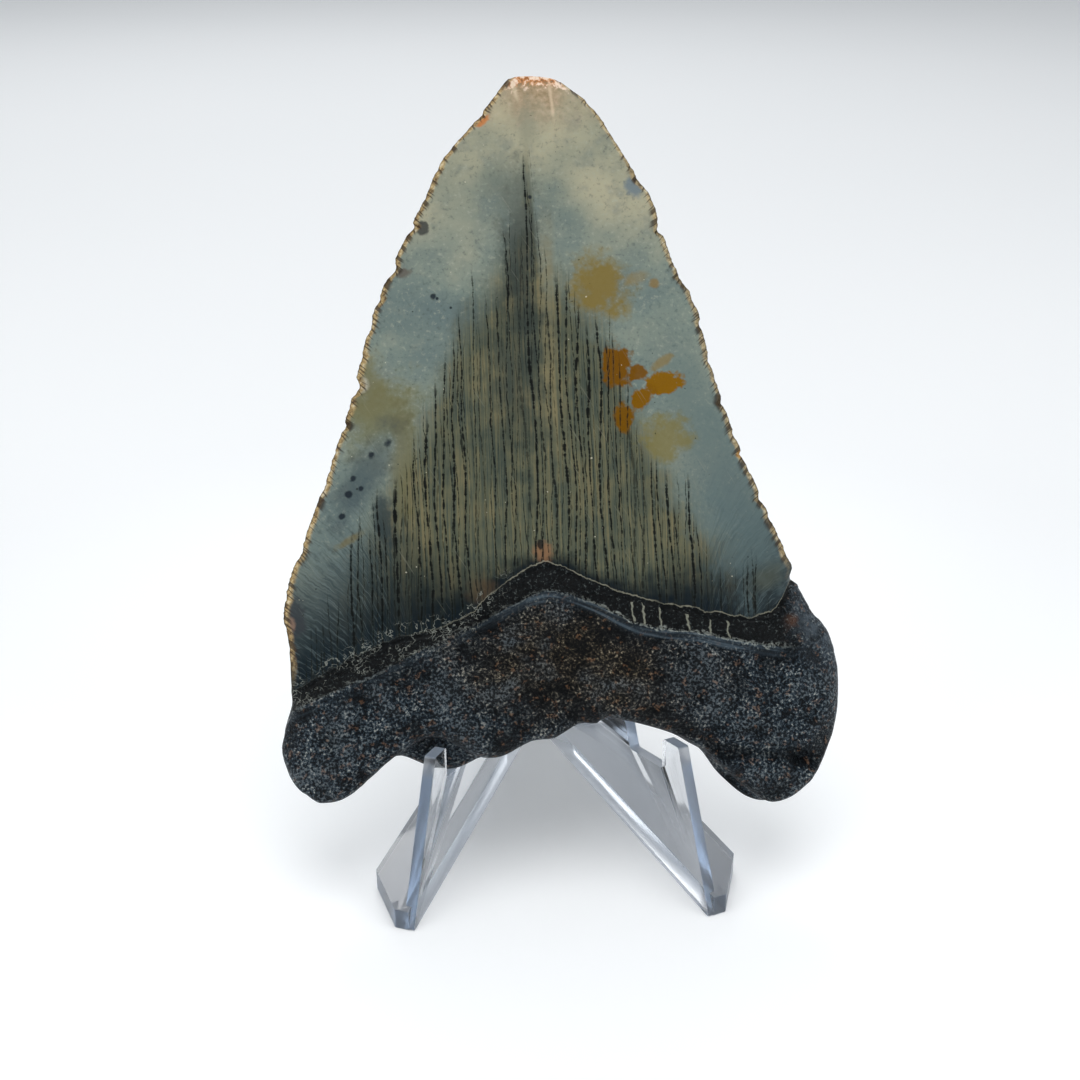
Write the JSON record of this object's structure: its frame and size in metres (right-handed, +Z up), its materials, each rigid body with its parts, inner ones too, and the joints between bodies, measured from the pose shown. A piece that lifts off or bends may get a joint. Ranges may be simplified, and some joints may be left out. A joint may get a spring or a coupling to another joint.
{
  "type": "megalodon tooth",
  "caption": "Large triangular fossil shark tooth with serrated edges and a dark two-lobed root, leaning back on a clear plastic display stand.",
  "frame": {"origin": "centre of the bounding box at the level of the foot flanges, where the stand meets the surface", "axes": "+Z up, -Y towards the shown face of the tooth and the front feet of the stand, +X to the viewer's right"},
  "size_m": [0.1006, 0.077, 0.1345],
  "materials": {
    "fossil": "grey-green satin enamel with dark cracks on the crown, matt brown-black root",
    "clear_plastic": "clear gloss with a slight blue cast at the edges"
  },
  "bodies": {
    "root": {"tooth": "fossil", "stand_left_half": "clear_plastic", "stand_right_half": "clear_plastic"}
  },
  "joints": []
}
